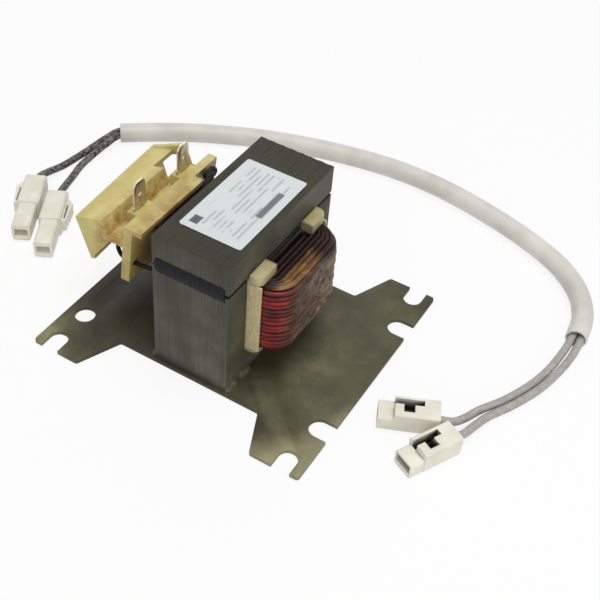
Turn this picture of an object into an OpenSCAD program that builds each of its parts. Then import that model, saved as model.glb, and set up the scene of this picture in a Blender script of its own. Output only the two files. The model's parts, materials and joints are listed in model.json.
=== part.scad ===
// Gapped-core reactor for an air conditioner: a welded lamination core on a slotted mounting plate,
// a copper coil on a moulded bobbin, a terminal holder with two tabs, and the loose lead set that
// pushes on to those tabs. X runs across the stack, Y along the laminations, Z up from the plate.

/* [Mounting plate] */
// Width of the plate, across the stack
plate_w = 110; // [100:1:130]
// Depth of the plate's body, between the tabs
plate_d = 69; // [68:1:80]
// Thickness of the plate
plate_t = 1.6; // [1:0.1:3]
// Length of each corner tab
tab_l = 16.5; // [14:0.5:24]
// Width of a corner tab at its tip
tab_tip_w = 19; // [17:0.5:22]
// Width of a corner tab at its root
tab_root_w = 26; // [23:0.5:28]
// Radius of the plate's corners
plate_corner_r = 1.2; // [0.4:0.1:2]
// Width of the open slot in each tab
slot_w = 7; // [5:0.5:8]
// Length of the open slot in each tab
slot_l = 8.5; // [7:0.5:11]
// Distance of a tab slot's middle from the plate's side edge
slot_inset = 7; // [6:0.5:9]
// Width of the open slots in the right edge
side_slot_w = 8; // [6:0.5:9]
// Length of the open slots in the right edge
side_slot_l = 8.5; // [7:0.5:10]
// Distance between the two slots in the right edge
side_slot_pitch = 58; // [52:1:64]
// Diameter of the round holes near the left edge
hole_d = 7.5; // [5:0.5:8]
// Distance of the round holes' axes from the left edge
hole_inset = 7; // [6:0.5:9]
// Distance between the two round holes
hole_pitch = 62; // [56:1:66]

/* [Core] */
// Lamination unit: the core is six units long and five units high
lam_unit = 11; // [10.5:0.1:11.2]
// Thickness of the lamination stack
stack_w = 30; // [26:1:36]
// Gap between the E stack and the I stack
gap_t = 1.2; // [0.6:0.1:3]
// Number of visible lamination packs in the stack, odd
packs = 15; // [9:2:19]
// Step between neighbouring packs
pack_step = 0.08; // [0.05:0.01:0.2]
// Width of the weld seam along the joint
seam_w = 6.4; // [4:0.2:8]
// Height of the weld seam above the core
seam_h = 0.9; // [0.5:0.1:1.5]
// Leg of the tack welds that hold the core to the plate
tack_r = 1.8; // [1.2:0.1:2.5]

/* [Bobbin and coil] */
// Wall of the bobbin's tube
tube_wall = 1.2; // [0.8:0.1:1.6]
// Thickness of the bobbin's flanges
flange_t = 1.5; // [1:0.1:2.2]
// Reach of the flanges past the core's faces
ear_l = 4.8; // [4:0.2:6]
// Width of the notch in the top flange
notch_w = 23; // [18:1:26]
// Height of the ears above the top flange
ear_h = 2.2; // [1:0.2:3]
// Thickness of the insulation sheets beside the coil
liner_t = 0.8; // [0.4:0.1:1.2]
// Reach of the insulation sheets past the core's faces
liner_l = 5; // [4:0.5:6.5]
// Reach of the coil past the core's faces
coil_l = 14; // [12:0.5:17]
// Radius of the coil's upright corners
coil_corner_r = 9; // [8:0.5:10]
// Turns that show in the outer layer
turns = 16; // [12:1:20]

/* [Terminal holder] */
// Reach of the holder towards the front
holder_near = 24; // [22:0.5:27]
// Reach of the holder towards the back
holder_far = 27; // [25:0.5:30]
// Thickness of the holder's wall against the coil
holder_wall_t = 3.6; // [2.4:0.2:4]
// Thickness of the holder's other walls
holder_skin = 2; // [1.4:0.1:2.4]
// Height of the holder's wall
holder_wall_h = 25; // [22:0.5:30]
// Lean of that wall, outwards at its foot
wall_lean = 2.6; // [1:0.2:3]
// Reach of the holder's top ledge over the coil
ledge_l = 3.7; // [3.5:0.1:5]
// Width of the trough between the wall and the hood
trough_w = 9.6; // [9:0.1:11]
// Depth of the trough below the ledge
trough_h = 7.9; // [6.5:0.1:9]
// Width of the hood
hood_w = 12.2; // [10:0.2:13]
// Flare of the hood towards the back
hood_flare = 4; // [0:0.5:5]
// Slope of the hood, rising towards the core
hood_tilt = 18; // [10:1:24]
// Height of the hood's outer wall
apron_h = 17.6; // [14:0.2:20]
// Lean of the hood's outer wall
apron_lean = 19; // [10:1:24]
// Height of the seats that the tab terminals stand on
seat_h = 6.9; // [5:0.1:7.2]
// Width of a tab terminal
tab_blade_w = 6.35; // [4.75:0.05:6.4]
// Thickness of a tab terminal
tab_blade_t = 0.8; // [0.5:0.1:1]
// Height of a tab terminal above its seat
tab_blade_h = 11.5; // [9:0.5:14]
// Distance between the two tab terminals
tab_pitch = 25.6; // [20:0.2:26]
// Diameter of the coil's sleeved end at the far tab
lead_far_d = 3; // [2:0.1:3]
// Diameter of the coil's sleeved end at the near tab
lead_near_d = 1.6; // [1:0.1:2]

/* [Label] */
// Width of the label, across the stack
label_w = 24; // [18:1:25]
// Length of the label
label_l = 42; // [30:1:50]
// Thickness of the label
label_t = 0.2; // [0.1:0.05:0.4]

/* [Lead set] */
// Diameter of the two wires
wire_d = 3; // [2.4:0.1:3]
// Outer diameter of the sleeve round the wires
sleeve_d = 8.2; // [8.2:0.1:10]
// Wall of the sleeve
sleeve_wall = 0.7; // [0.4:0.1:0.7]
// Length of a long housing
long_l = 31; // [28:0.5:36]
// Width of a long housing
long_w = 8.6; // [8.2:0.1:9.4]
// Height of a long housing
long_h = 9; // [8.4:0.1:10]
// Length of a short housing
short_l = 21; // [20:0.5:24]
// Width of a short housing
short_w = 9; // [8.8:0.1:9.4]
// Height of a short housing
short_h = 9; // [8.6:0.1:10]

/* [Hidden] */
// Clearances
leg_clear = 0.3;
window_clear = 0.4;
stack_clear = 0.2;
wind_clear = 0.1;
side_clear = 0.9;
slot_clear = 0.1;
bore_clear = 0.2;
round_fn = 48;
small_fn = 32;

// Heights and half sizes of the core
core_x = stack_w / 2;
core_y = 3 * lam_unit;
joint_z = plate_t + 4 * lam_unit;
yoke_z = joint_z + gap_t;
core_top = yoke_z + lam_unit;
pack_w = stack_w / packs;
spacer_inset = 0.8;

// Heights and half sizes of the bobbin and the coil
window_z = plate_t + lam_unit;
bobbin_z0 = window_z;
bobbin_z1 = joint_z - stack_clear;
tube_x = core_x + leg_clear + tube_wall;
tube_y = lam_unit + leg_clear + tube_wall;
flange_x = core_x + ear_l;
flange_y = 2 * lam_unit - window_clear;
flange_corner_r = 3;
coil_z0 = bobbin_z0 + flange_t;
coil_z1 = bobbin_z1 - flange_t - wind_clear;
liner_y = flange_y - wind_clear - liner_t;
coil_x = core_x + coil_l;
coil_y = liner_y - wind_clear;
turn_d = (coil_z1 - coil_z0) / turns;
turn_steps = 5;
end_turn_back = 1.2;

// Places on the terminal holder, measured outwards from the middle of the core
wall_out0 = coil_x + side_clear;
wall_out1 = wall_out0 + holder_wall_t;
ledge_z1 = coil_z1 + holder_skin;
wall_z0 = ledge_z1 - holder_wall_h;
floor_z1 = ledge_z1 - trough_h;
floor_z0 = floor_z1 - holder_skin;
hood_drop = 1.8;
hood_in = [wall_out1 + trough_w, ledge_z1 - hood_drop];
hood_out = hood_in + hood_w * [cos(hood_tilt), -sin(hood_tilt)];
apron_foot = hood_out + apron_h * [-sin(apron_lean), -cos(apron_lean)];
curb_foot = [wall_out1 + trough_w * 0.68, floor_z0];
hood_far = hood_out + hood_flare * [1, -tan(hood_tilt)];
apron_far = apron_foot + hood_far - hood_out;
notch_y = holder_far - 14.5;
notch_in = hood_in + 0.45 * (hood_out - hood_in);
rim_l = 2.2;
rim_h = 2.6;
ledge_far_y = holder_far - 14;
holder_mid = (holder_far - holder_near) / 2;
tab_near_y = holder_mid - tab_pitch / 2;
tab_far_y = holder_mid + tab_pitch / 2;
tab_out = wall_out1 + 2.7;
tab_shoulder_w = tab_blade_w + 1.2;
tab_shoulder_h = 1.6;
tab_tail_w = 3;
tab_tail_h = seat_h + holder_skin + 5;
tab_eye_d = 1.8;
tab_tip = 1.4;
seat_z = floor_z1 + seat_h;
seat_half = tab_shoulder_w / 2 + 0.8;
seat_out = tab_out + 2.2;
lead_hole_y = 3 - holder_near;
lead_hole_z = floor_z0 - 7.5;
lead_foot_y = tab_far_y + seat_half + lead_far_d / 2 + 2 * bore_clear + slot_clear;
lead_foot_z = floor_z1 + 3.4;
lead_sides = 8;

// Label and weld details
label_shift = [0.5, -2];
label_corner_r = 1;
seam_end = 1.5;
seam_ripples = 14;
seam_ripple = 0.07;
tack_l = 3;
tack_y = [22, 30.5];

// Lead set: the points of its routes were chosen on the surface that the plate stands on
wire_sides = 8;
sleeve_sides = 12;
long_axis_z = long_h / 2;
short_axis_z = 3.6;
wire_step = wire_d / 2 + 0.1;
sleeve_points = [
    [-104, 63], [-92, 72.5], [-79, 81.5], [-64, 90], [-48, 97.5], [-31, 103.5], [-14, 108], [4, 111],
    [22, 111.5], [40, 109.5], [58, 105.5], [74, 100.5], [89, 93.5], [100.5, 83.5], [107, 71.5], [109, 59]
];
sleeve_route = [for (p = sleeve_points) [p.x, p.y, sleeve_d / 2]];
left_heading = -61;
right_a_heading = 205;
right_b_heading = 243;
left_a_at = [-109.4, 14.8, long_axis_z];
left_b_at = [-96, 12, long_axis_z];
right_a_at = [83, -4.6, short_axis_z];
right_b_at = [90.6, -9.3, short_axis_z];
wire_a_left = [
    left_a_at, behind(left_a_at, left_heading, 4.5), [-112, 25, 3.1], [-111.4, 32.5, 1.6],
    [-110.2, 41.5, 1.6], [-109.4, 50, 1.7], [-107.8, 57.5, 2.8]
];
wire_b_left = [
    left_b_at, behind(left_b_at, left_heading, 4.5), [-100.6, 21.5, 3], [-103.2, 29, 1.6],
    [-105.2, 37, 1.6], [-106, 45.5, 1.6], [-105.2, 54, 2.8]
];
wire_a_right = [
    [110.6, 50, 2.8], [108.9, 40, 1.6], [106.1, 29.2, 1.6], [101.4, 17.8, 1.6], [96.3, 8, 1.8],
    [94.3, 1, 2.8], behind(right_b_at, right_b_heading, 5), right_b_at
];
wire_b_right = [
    [107.1, 50, 2.8], [105.6, 40, 1.6], [102.9, 29.8, 1.6], [98.1, 18.5, 1.6], [92.6, 9, 1.8],
    [90, 2, 2.8], behind(right_a_at, right_a_heading, 5), right_a_at
];
long_cavity_w = 5.2;
short_cavity_w = 7.2;
cavity_h = 3.4;
barrel_r = wire_d / 2;
blade_stock = 0.4;
roll_part = 0.17;
long_rear = long_l * 0.55;
long_nose_drop = 0.8;
long_bore_l = 8;
short_nose_l = 5.5;
short_nose_drop = 2.8;
short_bore_l = 4;
edge_chamfer = 0.7;

plate_colour = "#6f6a57";
core_colour = "#55544a";
weld_colour = "#3c3a33";
cream = "#d3c88c";
enamel = "#6e2420";
tin = "#b9b6ac";
nylon = "#e9e5d9";
wire_grey = "#6c6a66";

function unit(v) = v / norm(v);

// The point a distance behind a housing's back
function behind(at, angle, d) = at - d * [cos(angle), sin(angle), 0];

// The arc that rounds the corner q between p and s
function corner_arc(p, q, s, r, n) =
    let (
        a = unit(p - q),
        b = unit(s - q),
        half = acos(a * b) / 2,
        fit = min(r, 0.45 * min(norm(p - q), norm(s - q)) * tan(half)),
        centre = q + unit(a + b) * fit / sin(half),
        from = q + a * fit / tan(half) - centre,
        to = q + b * fit / tan(half) - centre,
        start = atan2(from.y, from.x),
        raw = atan2(to.y, to.x) - start,
        sweep = raw > 180 ? raw - 360 : raw < -180 ? raw + 360 : raw
    )
    [for (i = [0:n]) centre + fit * [cos(start + sweep * i / n), sin(start + sweep * i / n)]];

function rounded(points, r, n = 4) =
    let (m = len(points))
    [for (i = [0:m - 1]) each corner_arc(points[(i + m - 1) % m], points[i], points[(i + 1) % m], r, n)];

function box_points(half) = [[-half.x, -half.y], [half.x, -half.y], [half.x, half.y], [-half.x, half.y]];

// Directions along a route, and the ring of points round one of its points
function heading(path, i) = unit(path[min(i + 1, len(path) - 1)] - path[max(i - 1, 0)]);
function beside(path, i, up) = unit(cross(heading(path, i), up));
function carried(path, i, up) =
    i == 0 ? beside(path, 0, up) :
    let (s = carried(path, i - 1, up), h = heading(path, i))
    unit(s - (s * h) * h);
function ring(path, i, r, sides, up) =
    let (s = carried(path, i, up), u = cross(s, heading(path, i)))
    [for (k = [0:sides - 1]) path[i] + r * (cos(360 * k / sides) * s + sin(360 * k / sides) * u)];

// Four-sided faces between the rings from first on; inward faces line a bore
function walls(first, n, sides, inward = false) = [
    for (i = [0:n - 2], k = [0:sides - 1])
        let (
            a = first + i * sides + k,
            b = first + i * sides + (k + 1) % sides
        )
        inward ? [a, a + sides, b + sides, b] : [a, b, b + sides, a + sides]
];

// A profile in Y and Z drawn out along X
module along_x(x0, x1) {
    translate([x0, 0, 0])
        rotate([90, 0, 90])
            linear_extrude(x1 - x0)
                children();
}

// A profile in X and Z drawn out along Y
module along_y(y0, y1) {
    translate([0, y1, 0])
        rotate([90, 0, 0])
            linear_extrude(y1 - y0)
                children();
}

// A wall of even thickness along the line from a to b, on its right-hand side
module strip(a, b, t) {
    n = t * [unit(b - a).y, -unit(b - a).x];
    polygon([a, b, b + n, a + n]);
}

module cord(path, d, sides, up = [0, 0, 1]) {
    n = len(path);
    points = [for (i = [0:n - 1]) each ring(path, i, d / 2, sides, up)];
    start = [for (k = [sides - 1:-1:0]) k];
    end = [for (k = [0:sides - 1]) (n - 1) * sides + k];
    polyhedron(points, concat(walls(0, n, sides), [start], [end]));
}

module hollow_cord(path, d, wall, sides, up = [0, 0, 1]) {
    n = len(path);
    outer = [for (i = [0:n - 1]) each ring(path, i, d / 2, sides, up)];
    inner = [for (i = [0:n - 1]) each ring(path, i, d / 2 - wall, sides, up)];
    bore = n * sides;
    last = (n - 1) * sides;
    start = [for (k = [0:sides - 1]) let (j = (k + 1) % sides) [k, bore + k, bore + j, j]];
    end = [for (k = [0:sides - 1]) let (j = (k + 1) % sides) [last + j, bore + last + j, bore + last + k, last + k]];
    polyhedron(concat(outer, inner), concat(walls(0, n, sides), walls(bore, n, sides, true), start, end));
}

module open_slot(w, l, mouth) {
    circle(d = w, $fn = round_fn);
    translate([-w / 2, 0])
        square([w, l - w / 2 + mouth]);
}

module base_plate() {
    half_w = plate_w / 2;
    half_d = plate_d / 2;
    half_t = half_d + tab_l;
    tip = half_w - tab_tip_w;
    root = half_w - tab_root_w;
    outline = [
        [half_w, -half_t], [half_w, half_t], [tip, half_t], [root, half_d],
        [-root, half_d], [-tip, half_t], [-half_w, half_t], [-half_w, -half_t],
        [-tip, -half_t], [-root, -half_d], [root, -half_d], [tip, -half_t]
    ];
    color(plate_colour)
        linear_extrude(plate_t)
            difference() {
                polygon(rounded(outline, plate_corner_r));
                for (x = [-1, 1], y = [-1, 1])
                    translate([x * (half_w - slot_inset), y * (half_t - slot_l + slot_w / 2)])
                        rotate(y > 0 ? 0 : 180)
                            open_slot(slot_w, slot_l, 1);
                for (y = [-1, 1])
                    translate([half_w - side_slot_l + side_slot_w / 2, y * side_slot_pitch / 2])
                        rotate(-90)
                            open_slot(side_slot_w, side_slot_l, 1);
                for (y = [-1, 1])
                    translate([-half_w + hole_inset, y * hole_pitch / 2])
                        circle(d = hole_d, $fn = round_fn);
            }
}

module plate_welds() {
    color(weld_colour)
        for (x = [-1, 1], y = [-1, 1], at = tack_y)
            intersection() {
                translate([x * core_x, y * at, plate_t])
                    rotate([90, 0, 0])
                        union() {
                            cylinder(r = tack_r, h = tack_l, center = true, $fn = small_fn);
                            for (end = [-1, 1])
                                translate([0, 0, end * tack_l / 2])
                                    sphere(r = tack_r, $fn = small_fn);
                        }
                translate([x > 0 ? core_x : -core_x - 2 * tack_r, y * at - tack_l / 2 - 2 * tack_r, plate_t])
                    cube([2 * tack_r, tack_l + 4 * tack_r, 2 * tack_r]);
            }
}

// A stack across X: the drawn-in outline from end pack to end pack, and every other pack proud of it.
// The first child is the drawn-in outline, the second is the full one.
module stacked() {
    along_x(-core_x + pack_w / 2, core_x - pack_w / 2)
        children(0);
    for (i = [0:2:packs - 1])
        along_x(-core_x + i * pack_w, -core_x + (i + 1) * pack_w)
            children(1);
}

// Outline of the E sheets, drawn in by the step of a pack
function e_outline(s) =
    let (u = lam_unit)
    [
        [-3 * u + s, 0], [3 * u - s, 0], [3 * u - s, 4 * u - s], [2 * u + s, 4 * u - s],
        [2 * u + s, u - s], [u - s, u - s], [u - s, 4 * u - s], [-u + s, 4 * u - s],
        [-u + s, u - s], [-2 * u - s, u - s], [-2 * u - s, 4 * u - s], [-3 * u + s, 4 * u - s]
    ];

module e_stack() {
    color(core_colour)
        translate([0, 0, plate_t])
            stacked() {
                polygon(e_outline(pack_step));
                polygon(e_outline(0));
            }
}

module i_stack() {
    color(core_colour)
        translate([0, 0, yoke_z])
            stacked() {
                translate([-core_y + pack_step, pack_step])
                    square([2 * (core_y - pack_step), lam_unit - 2 * pack_step]);
                translate([-core_y, 0])
                    square([2 * core_y, lam_unit]);
            }
}

module gap_spacer() {
    color("#2b2723")
        translate([-core_x + spacer_inset, -core_y + spacer_inset, joint_z])
            cube([stack_w - 2 * spacer_inset, 2 * (core_y - spacer_inset), gap_t]);
}

// Weld seam across the stack, over the joint of E and I: a bead with ripples on it
module seam(side) {
    r = (seam_w * seam_w / 4 + seam_h * seam_h) / (2 * seam_h);
    length = stack_w - 2 * seam_end;
    pitch = length / seam_ripples;
    color(weld_colour)
        intersection() {
            translate([0, side * (core_y - r + seam_h), joint_z + gap_t / 2])
                rotate([0, 90, 0])
                    union() {
                        cylinder(r = r - seam_ripple, h = length, center = true, $fn = 2 * round_fn);
                        for (i = [1:seam_ripples - 1])
                            translate([0, 0, -length / 2 + i * pitch])
                                cylinder(r = r, h = pitch / 2, center = true, $fn = 2 * round_fn);
                    }
            translate([-core_x, side > 0 ? core_y : -core_y - seam_w, joint_z - seam_w])
                cube([stack_w, seam_w, 2 * seam_w]);
        }
}

module seam_weld_near() {
    seam(-1);
}

module seam_weld_far() {
    seam(1);
}

module flange(notched) {
    difference() {
        polygon(rounded(box_points([flange_x, flange_y]), flange_corner_r));
        square([2 * (core_x + leg_clear), 2 * (lam_unit + leg_clear)], center = true);
        if (notched)
            for (x = [-1, 1])
                translate([x * (flange_x + tube_x) / 2, 0])
                    square([flange_x - tube_x, notch_w], center = true);
    }
}

// Outline of the four ears that stand beside the yoke
module ears() {
    inner = [core_x + leg_clear, notch_w / 2];
    outer = [flange_x, flange_y];
    intersection() {
        polygon(rounded(box_points(outer), flange_corner_r));
        for (x = [-1, 1], y = [-1, 1])
            translate([x * (inner.x + outer.x) / 2, y * (inner.y + outer.y) / 2])
                square(outer - inner, center = true);
    }
}

module bobbin() {
    color(cream) {
        translate([0, 0, bobbin_z0])
            linear_extrude(bobbin_z1 - bobbin_z0)
                difference() {
                    square([2 * tube_x, 2 * tube_y], center = true);
                    square([2 * (core_x + leg_clear), 2 * (lam_unit + leg_clear)], center = true);
                }
        translate([0, 0, bobbin_z0])
            linear_extrude(flange_t)
                flange(false);
        translate([0, 0, bobbin_z1 - flange_t])
            linear_extrude(flange_t)
                flange(true);
        translate([0, 0, bobbin_z1 - flange_t])
            linear_extrude(flange_t + ear_h)
                ears();
    }
}

// How far a turn lies back from the coil's face: the end turns pull in
function set_back(i) = min(i, turns - 1 - i) == 0 ? end_turn_back : min(i, turns - 1 - i) == 1 ? end_turn_back / 3 : 0;

// Section of the coil's outer layer: one round per turn, from the depth of the layer to its face
function turns_section(depth, face = 0) = concat(
    [[face - depth, 0]],
    [
        for (i = [0:turns - 1], k = [0:turn_steps])
            let (a = -90 + 180 * k / turn_steps)
            if (k < turn_steps || i == turns - 1)
                turn_d / 2 * [cos(a) - 1, 2 * i + 1 + sin(a)] + [face - set_back(i), 0]
    ],
    [[face - depth, coil_z1 - coil_z0]]
);

module turns_along(length, depth) {
    rotate([90, 0, 0])
        linear_extrude(length, center = true)
            polygon(turns_section(depth));
}

module coil() {
    depth = 2 * turn_d;
    flat_x = coil_x - coil_corner_r;
    flat_y = coil_y - coil_corner_r;
    color(enamel)
        translate([0, 0, coil_z0]) {
            linear_extrude(coil_z1 - coil_z0)
                difference() {
                    union() {
                        square([2 * (coil_x - 1.5 * turn_d), 2 * flat_y], center = true);
                        square([2 * flat_x, 2 * (coil_y - 1.5 * turn_d)], center = true);
                    }
                    square([2 * (tube_x + wind_clear), 2 * (tube_y + wind_clear)], center = true);
                }
            for (x = [0, 180])
                rotate(x) {
                    translate([coil_x, 0, 0])
                        turns_along(2 * flat_y, depth);
                    translate([0, coil_y, 0])
                        rotate(90)
                            turns_along(2 * flat_x, depth);
                }
            for (x = [-1, 1], y = [-1, 1])
                translate([x * flat_x, y * flat_y, 0])
                    rotate(x > 0 ? (y > 0 ? 0 : -90) : (y > 0 ? 90 : 180))
                        rotate_extrude(angle = 90, $fn = round_fn)
                            polygon(turns_section(coil_corner_r, coil_corner_r));
        }
}

module liner(side) {
    color(cream)
        translate([-core_x - liner_l, side > 0 ? liner_y : -liner_y - liner_t, coil_z0])
            cube([stack_w + 2 * liner_l, liner_t, coil_z1 - coil_z0 - wind_clear]);
}

module liner_near() {
    liner(-1);
}

module liner_far() {
    liner(1);
}

// A wall of the hood, from one edge to the other at its near and its far end
module flared(from_near, to_near, from_far, to_far) {
    hull() {
        along_y(-holder_near, 0.1 - holder_near)
            strip(from_near, to_near, holder_skin);
        along_y(holder_far - 0.1, holder_far)
            strip(from_far, to_far, holder_skin);
    }
}

// Hole through the wall for a sleeved end of the winding
module lead_hole(at, d) {
    out = wall_out0 + wall_lean * (ledge_z1 - at.y) / holder_wall_h;
    translate([out - 1, at.x, at.y])
        rotate([0, 90, 0])
            cylinder(d = d + 4 * bore_clear, h = holder_wall_t + 2, $fn = small_fn);
}

// Holder hooked over the coil: a ledge on its top, a wall down its side, and a hooded trough outside
module terminal_holder() {
    near = -holder_near;
    far = holder_far;
    color(cream)
        mirror([1, 0, 0])
            difference() {
                union() {
                    along_y(near, ledge_far_y)
                        polygon([
                            [wall_out0 - ledge_l, coil_z1], [wall_out1, coil_z1],
                            [wall_out1, ledge_z1], [wall_out0 - ledge_l, ledge_z1]
                        ]);
                    along_y(near, far)
                        polygon([
                            [wall_out0 + wall_lean, wall_z0], [wall_out1 + wall_lean, wall_z0],
                            [wall_out1, ledge_z1], [wall_out0, ledge_z1]
                        ]);
                    along_y(near, far)
                        polygon([
                            [wall_out1 - 0.5, floor_z0], [curb_foot.x + holder_skin, floor_z0],
                            [curb_foot.x + holder_skin, floor_z1], [wall_out1 - 0.5, floor_z1]
                        ]);
                    along_y(near, far)
                        strip(hood_in, curb_foot, -holder_skin);
                    flared(hood_in, hood_out, hood_in, hood_far);
                    flared(hood_out, apron_foot, hood_far, apron_far);
                    along_y(near, near + holder_skin)
                        polygon([hood_in, hood_out, apron_foot, curb_foot]);
                    along_y(far - rim_l, far)
                        polygon([hood_in + [0, rim_h], hood_far, hood_far - [1, 2], hood_in - [0, 2]]);
                    for (y = [tab_near_y, tab_far_y])
                        translate([wall_out1 - 0.5, y - seat_half, floor_z1 - 0.5])
                            cube([seat_out - wall_out1 + 0.5, 2 * seat_half, seat_h + 0.5]);
                }
                along_y(notch_y, far - rim_l)
                    polygon([
                        [curb_foot.x + 0.7 * holder_skin, floor_z1 + 0.5], hood_in + [-holder_skin, 5],
                        notch_in + [0, 5], notch_in - [0, 2 * holder_skin]
                    ]);
                for (y = [tab_near_y, tab_far_y])
                    translate([tab_out, y, floor_z0 - 1])
                        linear_extrude(holder_skin + seat_h + 2)
                            square([tab_blade_t + 2 * slot_clear, tab_tail_w + 2 * slot_clear], center = true);
                lead_hole([lead_hole_y, lead_hole_z], lead_near_d);
                lead_hole([lead_foot_y, lead_foot_z], lead_far_d);
            }
}

// Flat push-on tab: chamfered blade with an eye, a shoulder on its seat, and a tail through the floor
module tab(y) {
    b = tab_blade_w / 2;
    s = tab_shoulder_w / 2;
    w = tab_tail_w / 2;
    h = tab_blade_h;
    color(tin)
        translate([-tab_out, y, seat_z])
            along_x(-tab_blade_t / 2, tab_blade_t / 2)
                difference() {
                    polygon([
                        [-w, -tab_tail_h], [w, -tab_tail_h], [w, 0], [s, 0], [s, tab_shoulder_h],
                        [b, tab_shoulder_h], [b, h - tab_tip], [b - tab_tip, h], [tab_tip - b, h],
                        [-b, h - tab_tip], [-b, tab_shoulder_h], [-s, tab_shoulder_h], [-s, 0], [-w, 0]
                    ]);
                    translate([0, h - 3 * tab_eye_d])
                        circle(d = tab_eye_d, $fn = small_fn);
                }
}

module tab_near() {
    tab(tab_near_y);
}

module tab_far() {
    tab(tab_far_y);
}

// Sleeved end of the winding: off the coil's corner, through the wall, to the near tab's tail
module lead_near() {
    reach = coil_corner_r + lead_near_d / 2 + wind_clear;
    corner = [coil_corner_r - coil_x, coil_corner_r - coil_y, lead_hole_z];
    tail = [-tab_out, tab_near_y - tab_tail_w / 2 - 0.05, floor_z0 - 2.4];
    route = [
        corner - reach * [cos(80), sin(80), 0],
        corner - reach * [cos(64), sin(64), 0],
        [-wall_out0 + 0.8, lead_hole_y, lead_hole_z],
        [-wall_out1 - wall_lean, lead_hole_y, lead_hole_z],
        [-wall_out1 - wall_lean - 1.8, lead_hole_y - 0.1, lead_hole_z + 1.2],
        [-wall_out1 - wall_lean - 3.2, lead_hole_y + 0.6, lead_hole_z + 3.6],
        [-wall_out1 - 6, lead_hole_y + 3, tail.z],
        [-tab_out - 1.4, tail.y - 3.6, tail.z],
        [-tab_out, tail.y - 1.9, tail.z],
        tail
    ];
    color("#1d1b1a")
        cord(route, lead_near_d, lead_sides);
}

// Sleeved end of the winding: up from the coil's top, round its corner, through the wall, beside the far tab
module lead_far() {
    rise = [-wall_out0 + 6.2, ledge_far_y - 2.4, coil_z1];
    route = [
        rise,
        rise + [0, 0, 0.8],
        rise + [0, 1, 1.9],
        rise + [-0.7, 3.6, 2.6],
        rise + [-2.5, 6.2, 2.7],
        [-wall_out0 + 3.2, lead_foot_y - 1.7, coil_z1 + 2.3],
        [-wall_out0 + 2.8, lead_foot_y - 0.3, coil_z1 + 0.9],
        [-wall_out0 + 1.7, lead_foot_y, lead_foot_z + 1.3],
        [-wall_out0 + 0.1, lead_foot_y, lead_foot_z + 0.2],
        [-wall_out1 - 1.3, lead_foot_y, lead_foot_z - 0.1],
        [-tab_out - 0.4, lead_foot_y, lead_foot_z - 1.5],
        [-tab_out - 0.4, lead_foot_y, floor_z1]
    ];
    color("#1d1b1a")
        cord(route, lead_far_d, lead_sides, [1, 0, 0]);
}

module label() {
    color("white")
        translate([label_shift.x, label_shift.y, core_top])
            linear_extrude(label_t)
                polygon(rounded(box_points([label_w / 2, label_l / 2]), label_corner_r));
}

module sleeve() {
    color("#dcdcd2")
        hollow_cord(sleeve_route, sleeve_d, sleeve_wall, sleeve_sides);
}

// The part of a wire's route that lies in the sleeve, off to one side
function in_sleeve(step) = [
    for (i = [0:len(sleeve_route) - 1]) sleeve_route[i] + step * beside(sleeve_route, i, [0, 0, 1])
];

module wire_a() {
    color(wire_grey)
        cord(concat(wire_a_left, in_sleeve(-wire_step), wire_a_right), wire_d, wire_sides);
}

module wire_b() {
    color(wire_grey)
        cord(concat(wire_b_left, in_sleeve(wire_step), wire_b_right), wire_d, wire_sides);
}

module placed(at, angle) {
    translate([at.x, at.y, 0])
        rotate(angle)
            children();
}

// Section of a housing with its long edges taken off
module housing_section(w, z0, z1) {
    c = edge_chamfer;
    polygon([
        [-w / 2, z0 + c], [-w / 2 + c, z0], [w / 2 - c, z0], [w / 2, z0 + c],
        [w / 2, z1 - c], [w / 2 - c, z1], [-w / 2 + c, z1], [-w / 2, z1 - c]
    ]);
}

module cavity(w, axis_z, bore_l, length) {
    translate([bore_l, -w / 2, axis_z - cavity_h / 2])
        cube([length - bore_l + 1, w, cavity_h]);
    translate([-1, 0, axis_z])
        rotate([0, 90, 0])
            cylinder(r = barrel_r + bore_clear, h = bore_l + 2, $fn = small_fn);
}

// Long housing with a latch on one side; turned over, the latch comes to the other side
module long_housing(over) {
    latch_l = long_rear * 0.7;
    latch_w = 2.6;
    nose_w = long_w - 2 * long_nose_drop;
    color(nylon)
        translate([0, 0, long_axis_z])
            rotate([over, 0, 0])
                translate([0, 0, -long_axis_z])
                    difference() {
                        union() {
                            along_x(0, long_rear)
                                housing_section(long_w, 0, long_h);
                            along_x(long_rear, long_l)
                                housing_section(nose_w, long_nose_drop, long_h - long_nose_drop);
                            translate([0, 0, long_axis_z - 2.5])
                                linear_extrude(5)
                                    polygon([
                                        [2, long_w / 2 - 0.5], [long_rear - 1, long_w / 2 - 0.5],
                                        [long_rear - 1, long_w / 2 + latch_w * 0.6],
                                        [long_rear - latch_l, long_w / 2 + latch_w], [2, long_w / 2]
                                    ]);
                        }
                        cavity(long_cavity_w, long_axis_z, long_bore_l, long_l);
                        translate([long_rear - latch_l + 1, long_w / 2 + 0.5, -1])
                            cube([latch_l - 3.5, 0.7, long_h + 2]);
                    }
}

// Short housing with a stepped nose and a T-shaped window in its top
module short_housing() {
    window_x = short_bore_l + 1.5;
    window_l = 10;
    bar_w = 2.4;
    color(nylon)
        difference() {
            union() {
                along_x(0, short_l - short_nose_l)
                    housing_section(short_w, 0, short_h);
                along_x(short_l - short_nose_l, short_l)
                    housing_section(short_w - 0.4, 0, short_h - short_nose_drop);
            }
            cavity(short_cavity_w, short_axis_z, short_bore_l, short_l);
            translate([window_x, -short_cavity_w / 2 + 0.6, short_axis_z])
                cube([window_l, bar_w, short_h]);
            translate([window_x + 3.2, -short_cavity_w / 2 + bar_w, short_axis_z])
                cube([3.8, short_cavity_w - bar_w - 0.9, short_h]);
        }
}

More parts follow.
